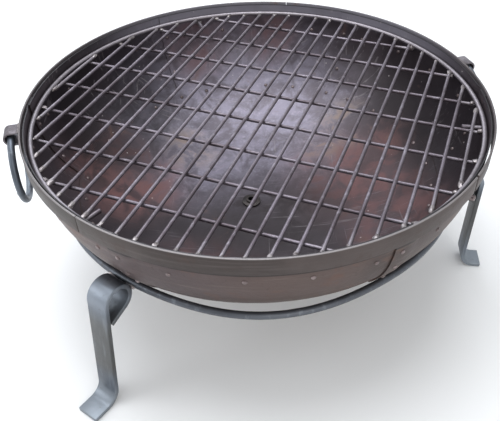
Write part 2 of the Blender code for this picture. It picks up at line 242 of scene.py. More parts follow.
def stand_finish():
    """Blue-grey: darker on the ring, a painted highlight on the curls' tops, paler on the feet,
    olive-grey between.
    """
    made, place = new_finish("mill_scale")
    broad = place.cloud(7.0, 4.0)
    fine = place.cloud(95.0, 5.0, 0.65)
    streaks = place.drawn((85.0, 85.0, 6.0)).cloud(1.0, 3.0, 0.6)
    up = place.height()
    ring = up.rise(0.196, 0.206) * place.beside((0, 0, 0), 0.371, 0.378)
    # The curls' tops: a painted highlight in paler blue-grey.
    curl = up.rise(0.190, 0.225) * (1 - up.rise(0.238, 0.246)) * 0.8
    curl = curl * (1 - place.beside((0, 0, 0), 0.378, 0.390))
    shank = up.rise(0.045, 0.085) * (1 - up.rise(0.165, 0.205))
    foot = 1 - up.rise(0.010, 0.050)
    colour = broad.rise(0.35, 0.68).paint((0.090, 0.102, 0.122, 1), (0.165, 0.186, 0.215, 1))
    colour = (ring * 0.55).paint(colour, (0.070, 0.068, 0.075, 1))
    colour = curl.paint(colour, (0.265, 0.295, 0.335, 1))
    colour = (shank * 0.80).paint(colour, (0.096, 0.095, 0.089, 1))
    colour = (foot * (0.35 + broad * 0.7)).paint(colour, (0.270, 0.300, 0.330, 1))
    colour = (streaks.rise(0.52, 0.72) * 0.45).paint(colour, (0.230, 0.250, 0.275, 1))
    colour = (fine.rise(0.60, 0.72) * 0.45).paint(colour, (0.085, 0.064, 0.050, 1))
    roughness = 0.26 + broad * 0.18 + fine * 0.16
    return set_finish(made, colour, roughness, 0.72, fine * 0.7 + streaks * 0.5, 0.0004)


MILL_SCALE = stand_finish()


def keen_edges(shape, angle):
    return [
        edge for edge in shape.edges
        if len(edge.link_faces) == 2 and edge.calc_face_angle() > radians(angle)
    ]


def ease(shape, width, segments=2, angle=40):
    """Takes the keen edges off a shape."""
    bmesh.ops.recalc_face_normals(shape, faces=shape.faces)
    bmesh.ops.bevel(
        shape, geom=keen_edges(shape, angle), offset=width, segments=segments,
        profile=0.5, affect="EDGES", material=-1, clamp_overlap=True,
    )


def fit(name, shape, finishes, body, slot, *stands_for):
    """The shape, moved to the bowl's axis, as a named piece that moves with its body."""
    bmesh.ops.translate(shape, verts=shape.verts, vec=AXIS)
    bmesh.ops.recalc_face_normals(shape, faces=shape.faces)
    mesh = bpy.data.meshes.new(name)
    shape.to_mesh(mesh)
    shape.free()
    for one in finishes:
        mesh.materials.append(one)
    mesh.shade_smooth()
    mesh.set_sharp_from_angle(angle=radians(38))
    made = bpy.data.objects.new(name, mesh)
    bpy.context.scene.collection.objects.link(made)
    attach(made, body)
    if stands_for:
        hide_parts(*stands_for)
    return made


def polar(radius, azimuth, height):
    turn = radians(azimuth)
    return Vector((radius * cos(turn), radius * sin(turn), height))


def ring_radius(azimuth):
    from_bow = abs((azimuth - BOW_AZIMUTH + 180) % 360 - 180)
    if from_bow >= BOW_REACH:
        return RING_SEAT
    return RING_SEAT + RING_BOW * (1 + cos(pi * from_bow / BOW_REACH)) / 2


def hoop(shape, radius, bar, height, steps, sides):
    """Adds a round bar bent into a level ring."""
    across = Matrix.Translation((radius, 0, height)) @ Matrix.Rotation(pi / 2, 4, "X")
    made = bmesh.ops.create_circle(shape, segments=sides, radius=bar, matrix=across)
    edges = list({edge for vert in made["verts"] for edge in vert.link_edges})
    bmesh.ops.spin(
        shape, geom=made["verts"] + edges, cent=(0, 0, 0), axis=(0, 0, 1),
        angle=2 * pi, steps=steps, use_merge=True,
    )


shape = bmesh.new()
hoop(shape, RING_SEAT, RING_BAR, RING_HEIGHT, 240, 20)
for vert in shape.verts:
    azimuth = degrees(atan2(vert.co.y, vert.co.x))
    reach = hypot(vert.co.x, vert.co.y)
    vert.co.xy *= 1 + (ring_radius(azimuth) - RING_SEAT) / reach
fit("ring_of_stand", shape, [MILL_SCALE], "stand", "stand_steel", "stand_ring")


# The legs: three 40 x 8 mm flat bars, each curled over at the top against the ring, with its
# tail back on the leg, and bent out flat at the foot. The arrises are eased by rolling.
LEG_AZIMUTHS = (-126.5, -6.5, 113.5)
LEG_WIDTH = 0.040
LEG_THICKNESS = 0.008
LEG_SPLAYS = (6.5, 0.0, 6.5)
LEG_ARRIS = 0.0011
CURL_RADIUS = 0.028
CURL_DROP = 0.010
CURL_END = 240.0
CURL_STEPS = 54
FOOT_BEND = 0.026
FOOT_STEPS = 14
FOOT_FLATS = (0.027, 0.012, 0.018)
WELD_GAP = 0.0003


def between(start, end, steps):
    return [start + (end - start) * i / steps for i in range(steps + 1)]


def leg_line(radius, splay, flat):
    """The bar's centre line, from the curl's tail to the toe, as (out, up)."""
    middle = CURL_RADIUS - LEG_THICKNESS / 2
    reach = CURL_RADIUS + RING_BAR + WELD_GAP
    centre = Vector((radius + sqrt(reach ** 2 - CURL_DROP ** 2), RING_HEIGHT - CURL_DROP))
    turns = [radians(turn) for turn in between(CURL_END + splay, splay, CURL_STEPS)]
    line = [centre + middle * Vector((cos(turn), sin(turn))) for turn in turns]
    bent = radians(CURL_END)
    tail = ((middle - LEG_THICKNESS / 2) * (1 - cos(bent)) - 2 * WELD_GAP) / -sin(bent)
    line.insert(0, line[0] + tail * Vector((-sin(turns[0]), cos(turns[0]))))
    bend_height = LEG_THICKNESS / 2 + FOOT_BEND
    drop = line[-1].y - bend_height
    lean = radians(splay)
    top = line[-1]
    bend = Vector((top.x + drop * sin(lean) / cos(lean) + FOOT_BEND / cos(lean), bend_height))
    shank = bend + FOOT_BEND * Vector((cos(pi + lean), sin(pi + lean)))
    line += [top.lerp(shank, share) for share in (0.12, 0.3, 0.5, 0.7, 0.88)]
    for turn in between(180 + splay, 270, FOOT_STEPS):
        line.append(bend + FOOT_BEND * Vector((cos(radians(turn)), sin(radians(turn)))))
    line.append(line[-1] + Vector((flat, 0)))
    return line


def strap_shape(line, thickness, width, arris):
    """A flat bar bent along a line of (out, up) points, with eased edges."""
    made = bmesh.new()
    pairs = []
    for i, point in enumerate(line):
        along = (line[min(i + 1, len(line) - 1)] - line[max(i - 1, 0)]).normalized()
        across = Vector((-along.y, along.x)) * thickness / 2
        pairs.append([
            made.verts.new((place.x, -width / 2, place.y))
            for place in (point + across, point - across)
        ])
    for (a, b), (c, d) in zip(pairs, pairs[1:]):
        made.faces.new((a, b, d, c))
    grown = bmesh.ops.extrude_face_region(made, geom=made.faces[:])
    far = [item for item in grown["geom"] if isinstance(item, bmesh.types.BMVert)]
    bmesh.ops.translate(made, verts=far, vec=(0, width, 0))
    ease(made, arris, 3)
    return made


for number, (azimuth, splay, flat) in enumerate(zip(LEG_AZIMUTHS, LEG_SPLAYS, FOOT_FLATS), 1):
    line = leg_line(ring_radius(azimuth), splay, flat)
    shape = strap_shape(line, LEG_THICKNESS, LEG_WIDTH, LEG_ARRIS)
    turn = Matrix.Rotation(radians(azimuth), 3, "Z")
    bmesh.ops.rotate(shape, verts=shape.verts, cent=(0, 0, 0), matrix=turn)
    fit(f"leg_bar_{number}", shape, [MILL_SCALE], "stand", "stand_steel", f"leg_{number}")


# The welds of the stand: an uneven bead of bright metal on each side of every leg's curl,
# where it touches the ring.
def weld_finish():
    made, place = new_finish("weld_metal")
    fine = place.cloud(260.0, 4.0, 0.6)
    broad = place.cloud(60.0, 2.0)
    colour = broad.rise(0.40, 0.62).paint((0.16, 0.140, 0.140, 1), (0.34, 0.310, 0.310, 1))
    colour = (fine.rise(0.56, 0.70) * 0.7).paint(colour, (0.10, 0.072, 0.060, 1))
    roughness = 0.24 + fine * 0.30
    return set_finish(made, colour, roughness, 0.85, fine, 0.0006)


WELD_METAL = weld_finish()
LEG_BEAD = (0.0035, 0.0058, 0.0040)


def bead(shape, place, size, turn=0.0, rounds=2):
    """Adds an uneven drop of weld metal, turned about Z."""
    where = Matrix.LocRotScale(place, Matrix.Rotation(radians(turn), 3, "Z"), Vector(size))
    made = bmesh.ops.create_icosphere(shape, subdivisions=rounds, radius=1, matrix=where)
    for vert in made["verts"]:
        swell = 0.45 * noise.noise(vert.co * 230)
        vert.co += (vert.co - place) * swell


shape = bmesh.new()
for azimuth in LEG_AZIMUTHS:
    radius = ring_radius(azimuth)
    for side in (-1, 1):
        for share in (0.0, 0.33, 0.66, 1.0):
            turn = azimuth + side * degrees((0.012 + 0.010 * share) / radius)
            place = polar(radius + 0.0058, turn, RING_HEIGHT - 0.0035 + 0.002 * share)
            bead(shape, place, LEG_BEAD, turn)
fit("stand_welds", shape, [WELD_METAL], "stand", "stand_steel")


# The base plate: the dish's round middle, one 2 mm plate pressed to a shallow bowl, lapped
# inside the side panels, with a hole for the drain. Oiled, with rust and scratches inside.
# The patches are (spot, inner radius, outer radius, strength), from the bowl's axis.
BOWL_DEPTH = 0.246
BOWL_FULLNESS = 2.5
DISH_RADIUS = 0.3941
SHEET = 0.002
BASE_EDGE_DEPTH = 0.158
DRAIN_PLACE = -0.015
DRAIN_HOLE = 0.0105
DENT = 0.0016
DENT_SCALE = 7.0
DENTS_BELOW = 0.034
DENTS_FROM_DRAIN = 0.022
DENTS_FADE = 0.030
BASE_SPOKES = 180
BASE_STEPS = 30
# Where painted light falls: the far wall's top and the band's inside face.
FAR_SIDE_PAINTED_LIGHT = ((0.08, 0.40, 0.36), 0.24, 0.50)
RUST_PATCHES = (
    ((-0.27, 0.03, 0.17), 0.06, 0.17, 1.0), ((0.19, 0.05, 0.15), 0.08, 0.19, 0.85),
    ((-0.09, -0.225, 0.18), 0.04, 0.15, 0.85), ((0.25, -0.11, 0.18), 0.03, 0.14, 0.8),
    ((-0.13, 0.346, 0.29), 0.02, 0.10, 0.8), ((0.03, 0.385, 0.30), 0.02, 0.09, 0.8),
)
TAN_PATCHES = (
    ((0.187, 0.20, 0.169), 0.02, 0.085, 1.0), ((-0.146, 0.154, 0.144), 0.02, 0.08, 1.0),
    ((0.134, 0.154, 0.142), 0.01, 0.06, 1.0),
)
# Painted shade: near black patches on the wall, left and right.
PAINTED_SHADE_PATCHES = (
    ((-0.33, 0.19, 0.25), 0.12, 0.23, 1.0), ((0.36, 0.06, 0.26), 0.05, 0.16, 1.0),
)


def dish_point(depth, inset=0.0):
    """(radius, height) on the dish at a depth, moved in along its normal."""
    share = min(depth / BOWL_DEPTH, 1.0)
    radius = DISH_RADIUS * (1 - share ** BOWL_FULLNESS) ** (1 / BOWL_FULLNESS)
    slope_out = (radius / DISH_RADIUS) ** (BOWL_FULLNESS - 1) / DISH_RADIUS
    slope_down = share ** (BOWL_FULLNESS - 1) / BOWL_DEPTH
    length = sqrt(slope_out ** 2 + slope_down ** 2)
    height = RIM_TOP - depth + inset * slope_down / length
    return radius - inset * slope_out / length, height


def depth_at(radius):
    share = min(radius / DISH_RADIUS, 1.0)
    return BOWL_DEPTH * (1 - share ** BOWL_FULLNESS) ** (1 / BOWL_FULLNESS)


def smooth(share):
    share = max(0.0, min(1.0, share))
    return share * share * (3 - 2 * share)


def dented(place):
    """The place moved in by the plates' uneven hammering, but not at the rim or the drain."""
    depth = RIM_TOP - place.z
    from_drain = hypot(place.x - DRAIN_PLACE, place.y)
    weight = smooth((depth - DENTS_BELOW) / DENTS_FADE)
    weight *= smooth((from_drain - DENTS_FROM_DRAIN) / DENTS_FADE)
    uneven = 0.5 + 0.5 * noise.noise(place * DENT_SCALE) + 0.18 * noise.noise(place * 31)
    inward = (Vector((0, 0, RIM_TOP)) - place).normalized()
    return place + inward * DENT * weight * max(0.0, uneven)


def hearth_finish():
    """The plates' inside: dark and oily, a painted lilac-grey sheen far off, with rust and tan
    patches.
    """
    made, place = new_finish("hearth_plate")
    broad = place.cloud(4.5, 4.0, 0.55, 0.4)
    blotch = place.cloud(19.0, 5.0, 0.62, 0.6)
    fine = place.cloud(120.0, 5.0, 0.65)
    colour = broad.rise(0.36, 0.64).paint((0.036, 0.028, 0.032, 1), (0.082, 0.066, 0.074, 1))
    # Painted sheen: the sky's reflection on the far floor, lilac-grey and mottled paler.
    painted_sheen = place.near((-0.06, 0.23, 0.18), 0.15, 0.34)
    painted_sheen = painted_sheen * (0.30 + blotch.rise(0.36, 0.60) * 0.70)
    colour = painted_sheen.paint(colour, (0.250, 0.228, 0.282, 1))
    colour = (painted_sheen * fine.rise(0.50, 0.68) * 0.5).paint(colour, (0.400, 0.375, 0.440, 1))
    rusty = place.patches(*RUST_PATCHES) * (0.25 + 0.75 * blotch.rise(0.42, 0.62))
    colour = (rusty * 0.90).paint(colour, (0.205, 0.102, 0.098, 1))
    tan = place.patches(*TAN_PATCHES) * blotch.rise(0.44, 0.60)
    colour = (tan * 0.85).paint(colour, (0.300, 0.230, 0.195, 1))
    # Darker round the drain: a painted dark reflection of the surroundings behind.
    drain_dark_reflection = place.near((0.02, -0.05, 0.126), 0.06, 0.20)
    drain_dark_reflection = drain_dark_reflection * (0.5 + blotch.rise(0.40, 0.60) * 0.5)
    colour = drain_dark_reflection.paint(colour, (0.034, 0.026, 0.028, 1))
    # Painted shade: the wall made near black in these patches.
    shade = place.patches(*PAINTED_SHADE_PATCHES)
    colour = (shade * 0.65).paint(colour, (0.022, 0.018, 0.021, 1))
    # Painted light: the far wall's top made paler blue-grey, as lit from the sky above.
    top = place.height().rise(RIM_TOP - 0.034, RIM_TOP - 0.016) * place.near(*FAR_SIDE_PAINTED_LIGHT)
    colour = (top * (0.65 + blotch * 0.4)).paint(colour, (0.225, 0.215, 0.250, 1))
    sooty = place.height().rise(RIM_TOP - 0.0055, RIM_TOP - 0.0045)
    colour = (sooty * 0.9).paint(colour, (0.030, 0.028, 0.030, 1))
    spots = blotch.rise(0.62, 0.74) * 0.5
    colour = spots.paint(colour, (0.180, 0.105, 0.085, 1))
    first = place.drawn((4.0, 210.0, 30.0), (0.0, 0.0, radians(24))).cloud(1.0, 2.0)
    second = place.drawn((230.0, 5.0, 30.0), (0.0, 0.0, radians(33))).cloud(1.0, 2.0)
    third = place.drawn((5.0, 260.0, 30.0), (0.0, 0.0, radians(-41))).cloud(1.0, 2.0)
    scores = first.rise(0.665, 0.70).most(second.rise(0.675, 0.71))
    scores = scores.most(third.rise(0.68, 0.71)) * broad.rise(0.40, 0.60)
    colour = (scores * 0.45).paint(colour, (0.34, 0.31, 0.32, 1))
    flecks = (1 - place.pits(46.0).rise(0.045, 0.075)) * blotch.rise(0.50, 0.60)
    colour = (flecks * 0.85).paint(colour, (0.60, 0.55, 0.54, 1))
    roughness = 0.30 + blotch * 0.16 + rusty * 0.20 + tan * 0.15 + fine * 0.10 + top * 0.12
    relief = blotch * 0.6 + fine * 0.35 - scores * 0.25
    return set_finish(made, colour, roughness, 0.45, relief, 0.0011)


def outside_finish():
    """The plates' outside: warm brown, wiped round with an oily rag, with a painted black shadow
    under the band.
    """
    made, place = new_finish("outside_plate")
    broad = place.cloud(5.0, 4.0, 0.55, 0.3)
    blotch = place.cloud(24.0, 5.0, 0.6, 0.4)
    fine = place.cloud(140.0, 5.0, 0.65)
    wiped = place.drawn((5.0, 5.0, 95.0)).cloud(1.0, 3.0, 0.6)
    colour = broad.rise(0.36, 0.64).paint((0.062, 0.042, 0.038, 1), (0.098, 0.067, 0.060, 1))
    low = 1 - place.height().rise(0.215, 0.290)
    colour = (low * (0.15 + blotch * 0.5)).paint(colour, (0.152, 0.118, 0.100, 1))
    purple = place.near((-0.17, -0.374, 0.29), 0.05, 0.20) * 0.55
    colour = purple.paint(colour, (0.078, 0.058, 0.064, 1))
    colour = (wiped.rise(0.50, 0.74) * 0.40).paint(colour, (0.180, 0.142, 0.125, 1))
    colour = (blotch.rise(0.54, 0.68) * 0.55).paint(colour, (0.135, 0.070, 0.052, 1))
    colour = (fine.rise(0.58, 0.72) * 0.45).paint(colour, (0.046, 0.032, 0.028, 1))
    # Painted shadow: the plates made near black just under the band.
    band_painted_shadow = place.height().rise(RIM_TOP - 0.0412, RIM_TOP - 0.0388)
    colour = (band_painted_shadow * 0.85).paint(colour, (0.016, 0.013, 0.013, 1))
    roughness = 0.36 + blotch * 0.16 + fine * 0.10
    relief = blotch * 0.5 + fine * 0.4 + wiped * 0.3
    return set_finish(made, colour, roughness, 0.50, relief, 0.0009)


HEARTH_PLATE = hearth_finish()
OUTSIDE_PLATE = outside_finish()


def press(shape):
    """Dents a plate, and gives the faces on its hollow side the hearth's finish."""
    bmesh.ops.recalc_face_normals(shape, faces=shape.faces)
    middle = Vector((0, 0, RIM_TOP + 0.1))
    for face in shape.faces:
        if face.normal.dot(middle - face.calc_center_median()) > 0.05:
            face.material_index = 1
    for vert in shape.verts:
        vert.co = dented(vert.co)


def dish_place(flat, inset):
    """A point on the dish's outside, given by its X and Y, moved in along the normal."""
    reach = hypot(flat.x, flat.y)
    if reach < 1e-6:
        return Vector((0, 0, RIM_TOP - BOWL_DEPTH + inset))
    radius, height = dish_point(depth_at(reach), inset)
    return Vector((flat.x * radius / reach, flat.y * radius / reach, height))


def twin(shape):
    """Copies an open plate. Gives the copy's vertices, and each border edge with its copy."""
    rims = [edge for edge in shape.edges if edge.is_boundary]
    made = bmesh.ops.duplicate(shape, geom=shape.verts[:] + shape.edges[:] + shape.faces[:])
    copies = {item for item in made["geom"] if isinstance(item, bmesh.types.BMVert)}
    return copies, [(edge, made["edge_map"][edge]) for edge in rims]


shape = bmesh.new()
edge_radius = dish_point(BASE_EDGE_DEPTH)[0]
spoke = [shape.verts.new((1 + share, 0, 0)) for share in between(0.0, 1.0, BASE_STEPS)]
edges = [shape.edges.new(pair) for pair in zip(spoke, spoke[1:])]
bmesh.ops.spin(
    shape, geom=spoke + edges, cent=(0, 0, 0), axis=(0, 0, 1),
    angle=2 * pi, steps=BASE_SPOKES, use_merge=True,
)
copies, borders = twin(shape)
hole = [pair for pair in borders if pair[0].verts[0].co.length < 1.5]
rim = [pair for pair in borders if pair[0].verts[0].co.length > 1.5]
for vert in shape.verts:
    share = vert.co.length - 1
    turn = vert.co.normalized()
    start = Vector((DRAIN_PLACE, 0, 0)) + turn * DRAIN_HOLE
    inset = SHEET + WELD_GAP + (SHEET if vert in copies else 0.0)
    vert.co = dish_place(start.lerp(turn * edge_radius, share), inset)
for border in (hole, rim):
    bmesh.ops.bridge_loops(shape, edges=[edge for pair in border for edge in pair])
press(shape)
fit(
    "base_dish", shape, [OUTSIDE_PLATE, HEARTH_PLATE], "bowl", "plate_steel", "base_plate",
)


# The side panels: six curved 2 mm plates round the dish. Each one's first edge laps over the
# tucked end of the plate before it, and has its lower corner cut round.
PANEL_COUNT = 6
FIRST_SEAM = -62.0
SEAM_LAP = 4.5
SEAM_TUCK = 3.6
SEAM_JOG = 1.5
PANEL_TOP_DROP = 0.004
PANEL_FOOT_DEPTH = 0.178
PANEL_COLUMNS = 42
PANEL_ROWS = 22
CORNER = 0.034
FOOT_RADIUS = 0.32

span = 360 / PANEL_COUNT
for number in range(PANEL_COUNT):
    shape = bmesh.new()
    first_azimuth = FIRST_SEAM + number * span
    verts = []
    for depth in between(PANEL_TOP_DROP, PANEL_FOOT_DEPTH, PANEL_ROWS):
        radius, height = dish_point(depth)
        verts.append(shape.verts.new(polar(radius, first_azimuth, height)))
    edges = [shape.edges.new(pair) for pair in zip(verts, verts[1:])]
    bmesh.ops.spin(
        shape, geom=verts + edges, cent=(0, 0, 0), axis=(0, 0, 1),
        angle=radians(span + SEAM_TUCK), steps=PANEL_COLUMNS,
    )

    def panel_place(place, inset):
        """The panel's point moved in, raised at the lap, and kept within the round corner."""
        turned = (degrees(atan2(place.y, place.x)) - first_azimuth) % 360
        turned = 0.0 if turned > 200 else turned
        depth = depth_at(hypot(place.x, place.y))
        from_edge = radians(turned) * FOOT_RADIUS
        if from_edge < CORNER:
            cut = CORNER - sqrt(CORNER ** 2 - (CORNER - from_edge) ** 2)
            share = (depth - PANEL_TOP_DROP) / (PANEL_FOOT_DEPTH - PANEL_TOP_DROP)
            depth -= cut * share
        raised = 1 - smooth((turned - SEAM_LAP) / SEAM_JOG)
        jog = SHEET + WELD_GAP
        radius, height = dish_point(depth, inset - jog * raised)
        return polar(radius, first_azimuth + turned, height)

    copies, borders = twin(shape)
    for vert in shape.verts:
        vert.co = panel_place(vert.co, SHEET if vert in copies else 0.0)
    bmesh.ops.bridge_loops(shape, edges=[edge for pair in borders for edge in pair])
    press(shape)
    fit(
        f"wall_panel_{number + 1}", shape, [OUTSIDE_PLATE, HEARTH_PLATE], "bowl",
        "plate_steel", f"side_panel_{number + 1}",
    )


# The rivets: 7.6 mm snap heads on both sides of the plates, in one row round the wall under
# the band, four up each seam, and one row where the panels lap over the base plate.
RIVET_RADIUS = 0.0038
RIVET_RISE = 0.0021
WALL_ROW_DEPTH = 0.054
WALL_ROW = (13.0, 28.5, 42.5, 56.0)
SEAM_RIVET_TURN = 2.1
SEAM_ROW = (0.052, 0.090, 0.124)
BASE_ROW_DEPTH = 0.168
BASE_ROW = (4.0, 16.5, 28.5, 41.0, 53.0)


def rivet_finish():
    made, place = new_finish("rivet_heads")
    fine = place.cloud(210.0, 4.0, 0.6)
    broad = place.cloud(38.0, 2.0)
    colour = broad.rise(0.38, 0.62).paint((0.150, 0.118, 0.115, 1), (0.290, 0.235, 0.235, 1))
    colour = (fine.rise(0.54, 0.68) * 0.5).paint(colour, (0.060, 0.042, 0.036, 1))
    return set_finish(made, colour, 0.30 + fine * 0.25, 0.70, fine, 0.0004)


RIVET_STEEL = rivet_finish()


def rivet(shape, azimuth, depth, inset, side):
    """Adds one head on the plate's outside, or inside where side is -1."""
    radius, height = dish_point(depth, inset)
    deeper = dish_point(depth + 0.002, inset)
    slope = Vector((deeper[0] - radius, deeper[1] - height))
    out = Vector((-slope.y, 0, slope.x)).normalized() * side
    turn = Matrix.Rotation(radians(azimuth), 4, "Z")
    place = dented(polar(radius, azimuth, height))
    facing = (turn.to_3x3() @ out).to_track_quat("Z", "Y")
    where = Matrix.LocRotScale(place, facing, Vector((RIVET_RADIUS, RIVET_RADIUS, RIVET_RISE)))
    bmesh.ops.create_uvsphere(shape, u_segments=12, v_segments=7, radius=1, matrix=where)


shape = bmesh.new()
chance = Random(11)
for number in range(PANEL_COUNT):
    seam = FIRST_SEAM + number * span
    for turn in WALL_ROW:
        depth = WALL_ROW_DEPTH + chance.uniform(-0.003, 0.003)
        azimuth = seam + turn + chance.uniform(-0.5, 0.5)
        rivet(shape, azimuth, depth, 0.0, 1)
        rivet(shape, azimuth, depth, SHEET, -1)
    for depth in SEAM_ROW:
        azimuth = seam + SEAM_RIVET_TURN + chance.uniform(-0.25, 0.25)
        rivet(shape, azimuth, depth, -SHEET - WELD_GAP, 1)
        rivet(shape, azimuth, depth, SHEET, -1)
    for turn in BASE_ROW:
        azimuth = seam + turn + chance.uniform(-1.2, 1.2)
        raised = SHEET if turn < SEAM_LAP else 0.0
        rivet(shape, azimuth, BASE_ROW_DEPTH, -raised, 1)
        rivet(shape, azimuth, BASE_ROW_DEPTH, 2 * SHEET + WELD_GAP, -1)
fit("bowl_rivets", shape, [RIVET_STEEL], "bowl", "plate_steel")


# The rim band: a 30 x 3 mm flat hoop in three lengths round the top of the plates. One joint
# is left open over a stud, and the others are butted.
BAND_HEIGHT = 0.030
BAND_THICKNESS = 0.003
BAND_ARRIS = 0.0006
RIM_RADIUS = 0.400
BAND_JOINTS = ((-129.0, 0.001), (-37.0, 0.005), (80.0, 0.001))
BAND_STEP = 1.5


def band_finish():
    """Dark brown; the inside face blue-grey, paler far off as painted light; a top edge worn
    bright at the front.
    """
    made, place = new_finish("rim_band")
    broad = place.cloud(6.0, 4.0, 0.55, 0.3)
    blotch = place.cloud(30.0, 5.0, 0.62, 0.4)
    fine = place.cloud(160.0, 5.0, 0.65)
    rolled = place.drawn((6.0, 6.0, 150.0)).cloud(1.0, 3.0, 0.6)
    colour = broad.rise(0.36, 0.64).paint((0.052, 0.041, 0.038, 1), (0.084, 0.066, 0.062, 1))
    left = place.near((-0.31, -0.23, 0.35), 0.06, 0.26) * 0.5
    colour = left.paint(colour, (0.078, 0.073, 0.067, 1))
    colour = (rolled.rise(0.50, 0.74) * 0.35).paint(colour, (0.125, 0.104, 0.100, 1))
    colour = (blotch.rise(0.56, 0.70) * 0.6).paint(colour, (0.070, 0.046, 0.040, 1))
    # The inside face: blue-grey, made paler towards the far side as painted light.
    inner = place.beside((0, 0, 0), RIM_RADIUS - 0.0028, RIM_RADIUS - 0.0022)
    inner = inner * (0.25 + 0.75 * place.near(*FAR_SIDE_PAINTED_LIGHT))
    colour = (inner * 0.8).paint(colour, (0.215, 0.205, 0.235, 1))
    rust = place.near((0.07, 0.396, 0.36), 0.005, 0.05) * blotch.rise(0.40, 0.60)
    colour = (rust * 0.8).paint(colour, (0.17, 0.085, 0.050, 1))
    worn = place.height().rise(RIM_TOP - 0.0016, RIM_TOP - 0.0003)
    front = place.near((-0.02, -0.40, 0.37), 0.25, 0.50)
    colour = (worn * (0.25 + 0.45 * front)).paint(colour, (0.270, 0.250, 0.250, 1))
    roughness = 0.40 + blotch * 0.16 + fine * 0.12 - worn * 0.08
    return set_finish(made, colour, roughness, 0.50, fine * 0.5 + rolled * 0.5, 0.0006)


BAND_STEEL = band_finish()

section = (
    (RIM_RADIUS, RIM_TOP), (RIM_RADIUS, RIM_TOP - BAND_HEIGHT),
    (RIM_RADIUS - BAND_THICKNESS, RIM_TOP - BAND_HEIGHT), (RIM_RADIUS - BAND_THICKNESS, RIM_TOP),
)
following = BAND_JOINTS[1:] + ((BAND_JOINTS[0][0] + 360, BAND_JOINTS[0][1]),)
for number, (joint, next_joint) in enumerate(zip(BAND_JOINTS, following), 1):
    start = joint[0] + degrees(joint[1] / 2 / RIM_RADIUS)
    end = next_joint[0] - degrees(next_joint[1] / 2 / RIM_RADIUS)
    shape = bmesh.new()
    verts = [shape.verts.new(polar(radius, start, height)) for radius, height in section]
    edges = [shape.edges.new((verts[i], verts[(i + 1) % 4])) for i in range(4)]
    bmesh.ops.spin(
        shape, geom=verts + edges, cent=(0, 0, 0), axis=(0, 0, 1),
        angle=radians(end - start), steps=round((end - start) / BAND_STEP),
    )
    bmesh.ops.holes_fill(shape, edges=shape.edges, sides=4)
    ease(shape, BAND_ARRIS)
    name = f"rim_band_{number}"
    fit(f"band_length_{number}", shape, [BAND_STEEL], "bowl", "band_steel", name)


# The joint stud: a short round pin on the wall under the band's open joint.
STUD_AZIMUTH = -37.0
STUD_DEPTH = 0.041
STUD_RADIUS = 0.0045
STUD_LENGTH = 0.010


def rod(shape, points, radius, sides, crown=0.25):
    """Adds a round bar through nearly straight points, with its two ends crowned a little."""
    along = (points[-1] - points[0]).normalized()
    facing = along.to_track_quat("Z", "Y").to_matrix().to_4x4()
    reach = crown * radius
    stations = [(points[0], 1 - crown), (points[0] + along * reach, 1)]
    stations += [(point, 1) for point in points[1:-1]]
    stations += [(points[-1] - along * reach, 1), (points[-1], 1 - crown)]
    rings = []
    for place, share in stations:
        where = Matrix.Translation(place) @ facing
        made = bmesh.ops.create_circle(
            shape, segments=sides, radius=radius * share, matrix=where,
        )
        rings.append(list({edge for vert in made["verts"] for edge in vert.link_edges}))
    for ring, after in zip(rings, rings[1:]):
        bmesh.ops.bridge_loops(shape, edges=ring + after)
    bmesh.ops.holes_fill(shape, edges=rings[0] + rings[-1], sides=sides)


shape = bmesh.new()
root = dish_point(STUD_DEPTH)[0] + WELD_GAP
pin = [polar(root + STUD_LENGTH * share, STUD_AZIMUTH, RIM_TOP - STUD_DEPTH) for share in (0, 1)]
rod(shape, pin, STUD_RADIUS, 24, 0.3)
fit("stud_of_joint", shape, [RIVET_STEEL], "bowl", "band_steel", "joint_stud")


# The grill's pegs: three cut lengths of 8 mm round bar welded to the inside of the wall, under
# the grill's hoop. The cut ends and the welds are bright.
PEG_AZIMUTHS = (-131.0, -11.0, 109.0)
PEG_RADIUS = 0.004
PEG_LENGTH = 0.040
PEG_BEAD = (0.0034, 0.0042, 0.0030)
GRILL_HEIGHT = (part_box("grill_hoop")[0].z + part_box("grill_hoop")[1].z) / 2
HOOP_BAR = 0.004


def bar_finish():
    """Purple-grey and mottled, paler where the bars' ends were heated."""
    made, place = new_finish("bar_steel")
    broad = place.cloud(9.0, 4.0)
    blotch = place.cloud(70.0, 4.0, 0.6)
    fine = place.cloud(300.0, 4.0, 0.65)
    colour = broad.rise(0.36, 0.64).paint((0.105, 0.086, 0.098, 1), (0.190, 0.165, 0.190, 1))
    colour = (blotch.rise(0.52, 0.70) * 0.6).paint(colour, (0.300, 0.275, 0.310, 1))
    colour = (fine.rise(0.56, 0.68) * 0.5).paint(colour, (0.066, 0.045, 0.038, 1))
    middle = Vector((0, 0, GRILL_HEIGHT))
    ends = 1 - place.near(middle, 0.350, 0.384)
    colour = (ends * (0.25 + blotch * 0.7)).paint(colour, (0.330, 0.305, 0.320, 1))
    roughness = 0.26 + blotch * 0.18 + fine * 0.14
    return set_finish(made, colour, roughness, 0.78, fine * 0.6 + blotch * 0.5, 0.0005)


BAR_STEEL = bar_finish()

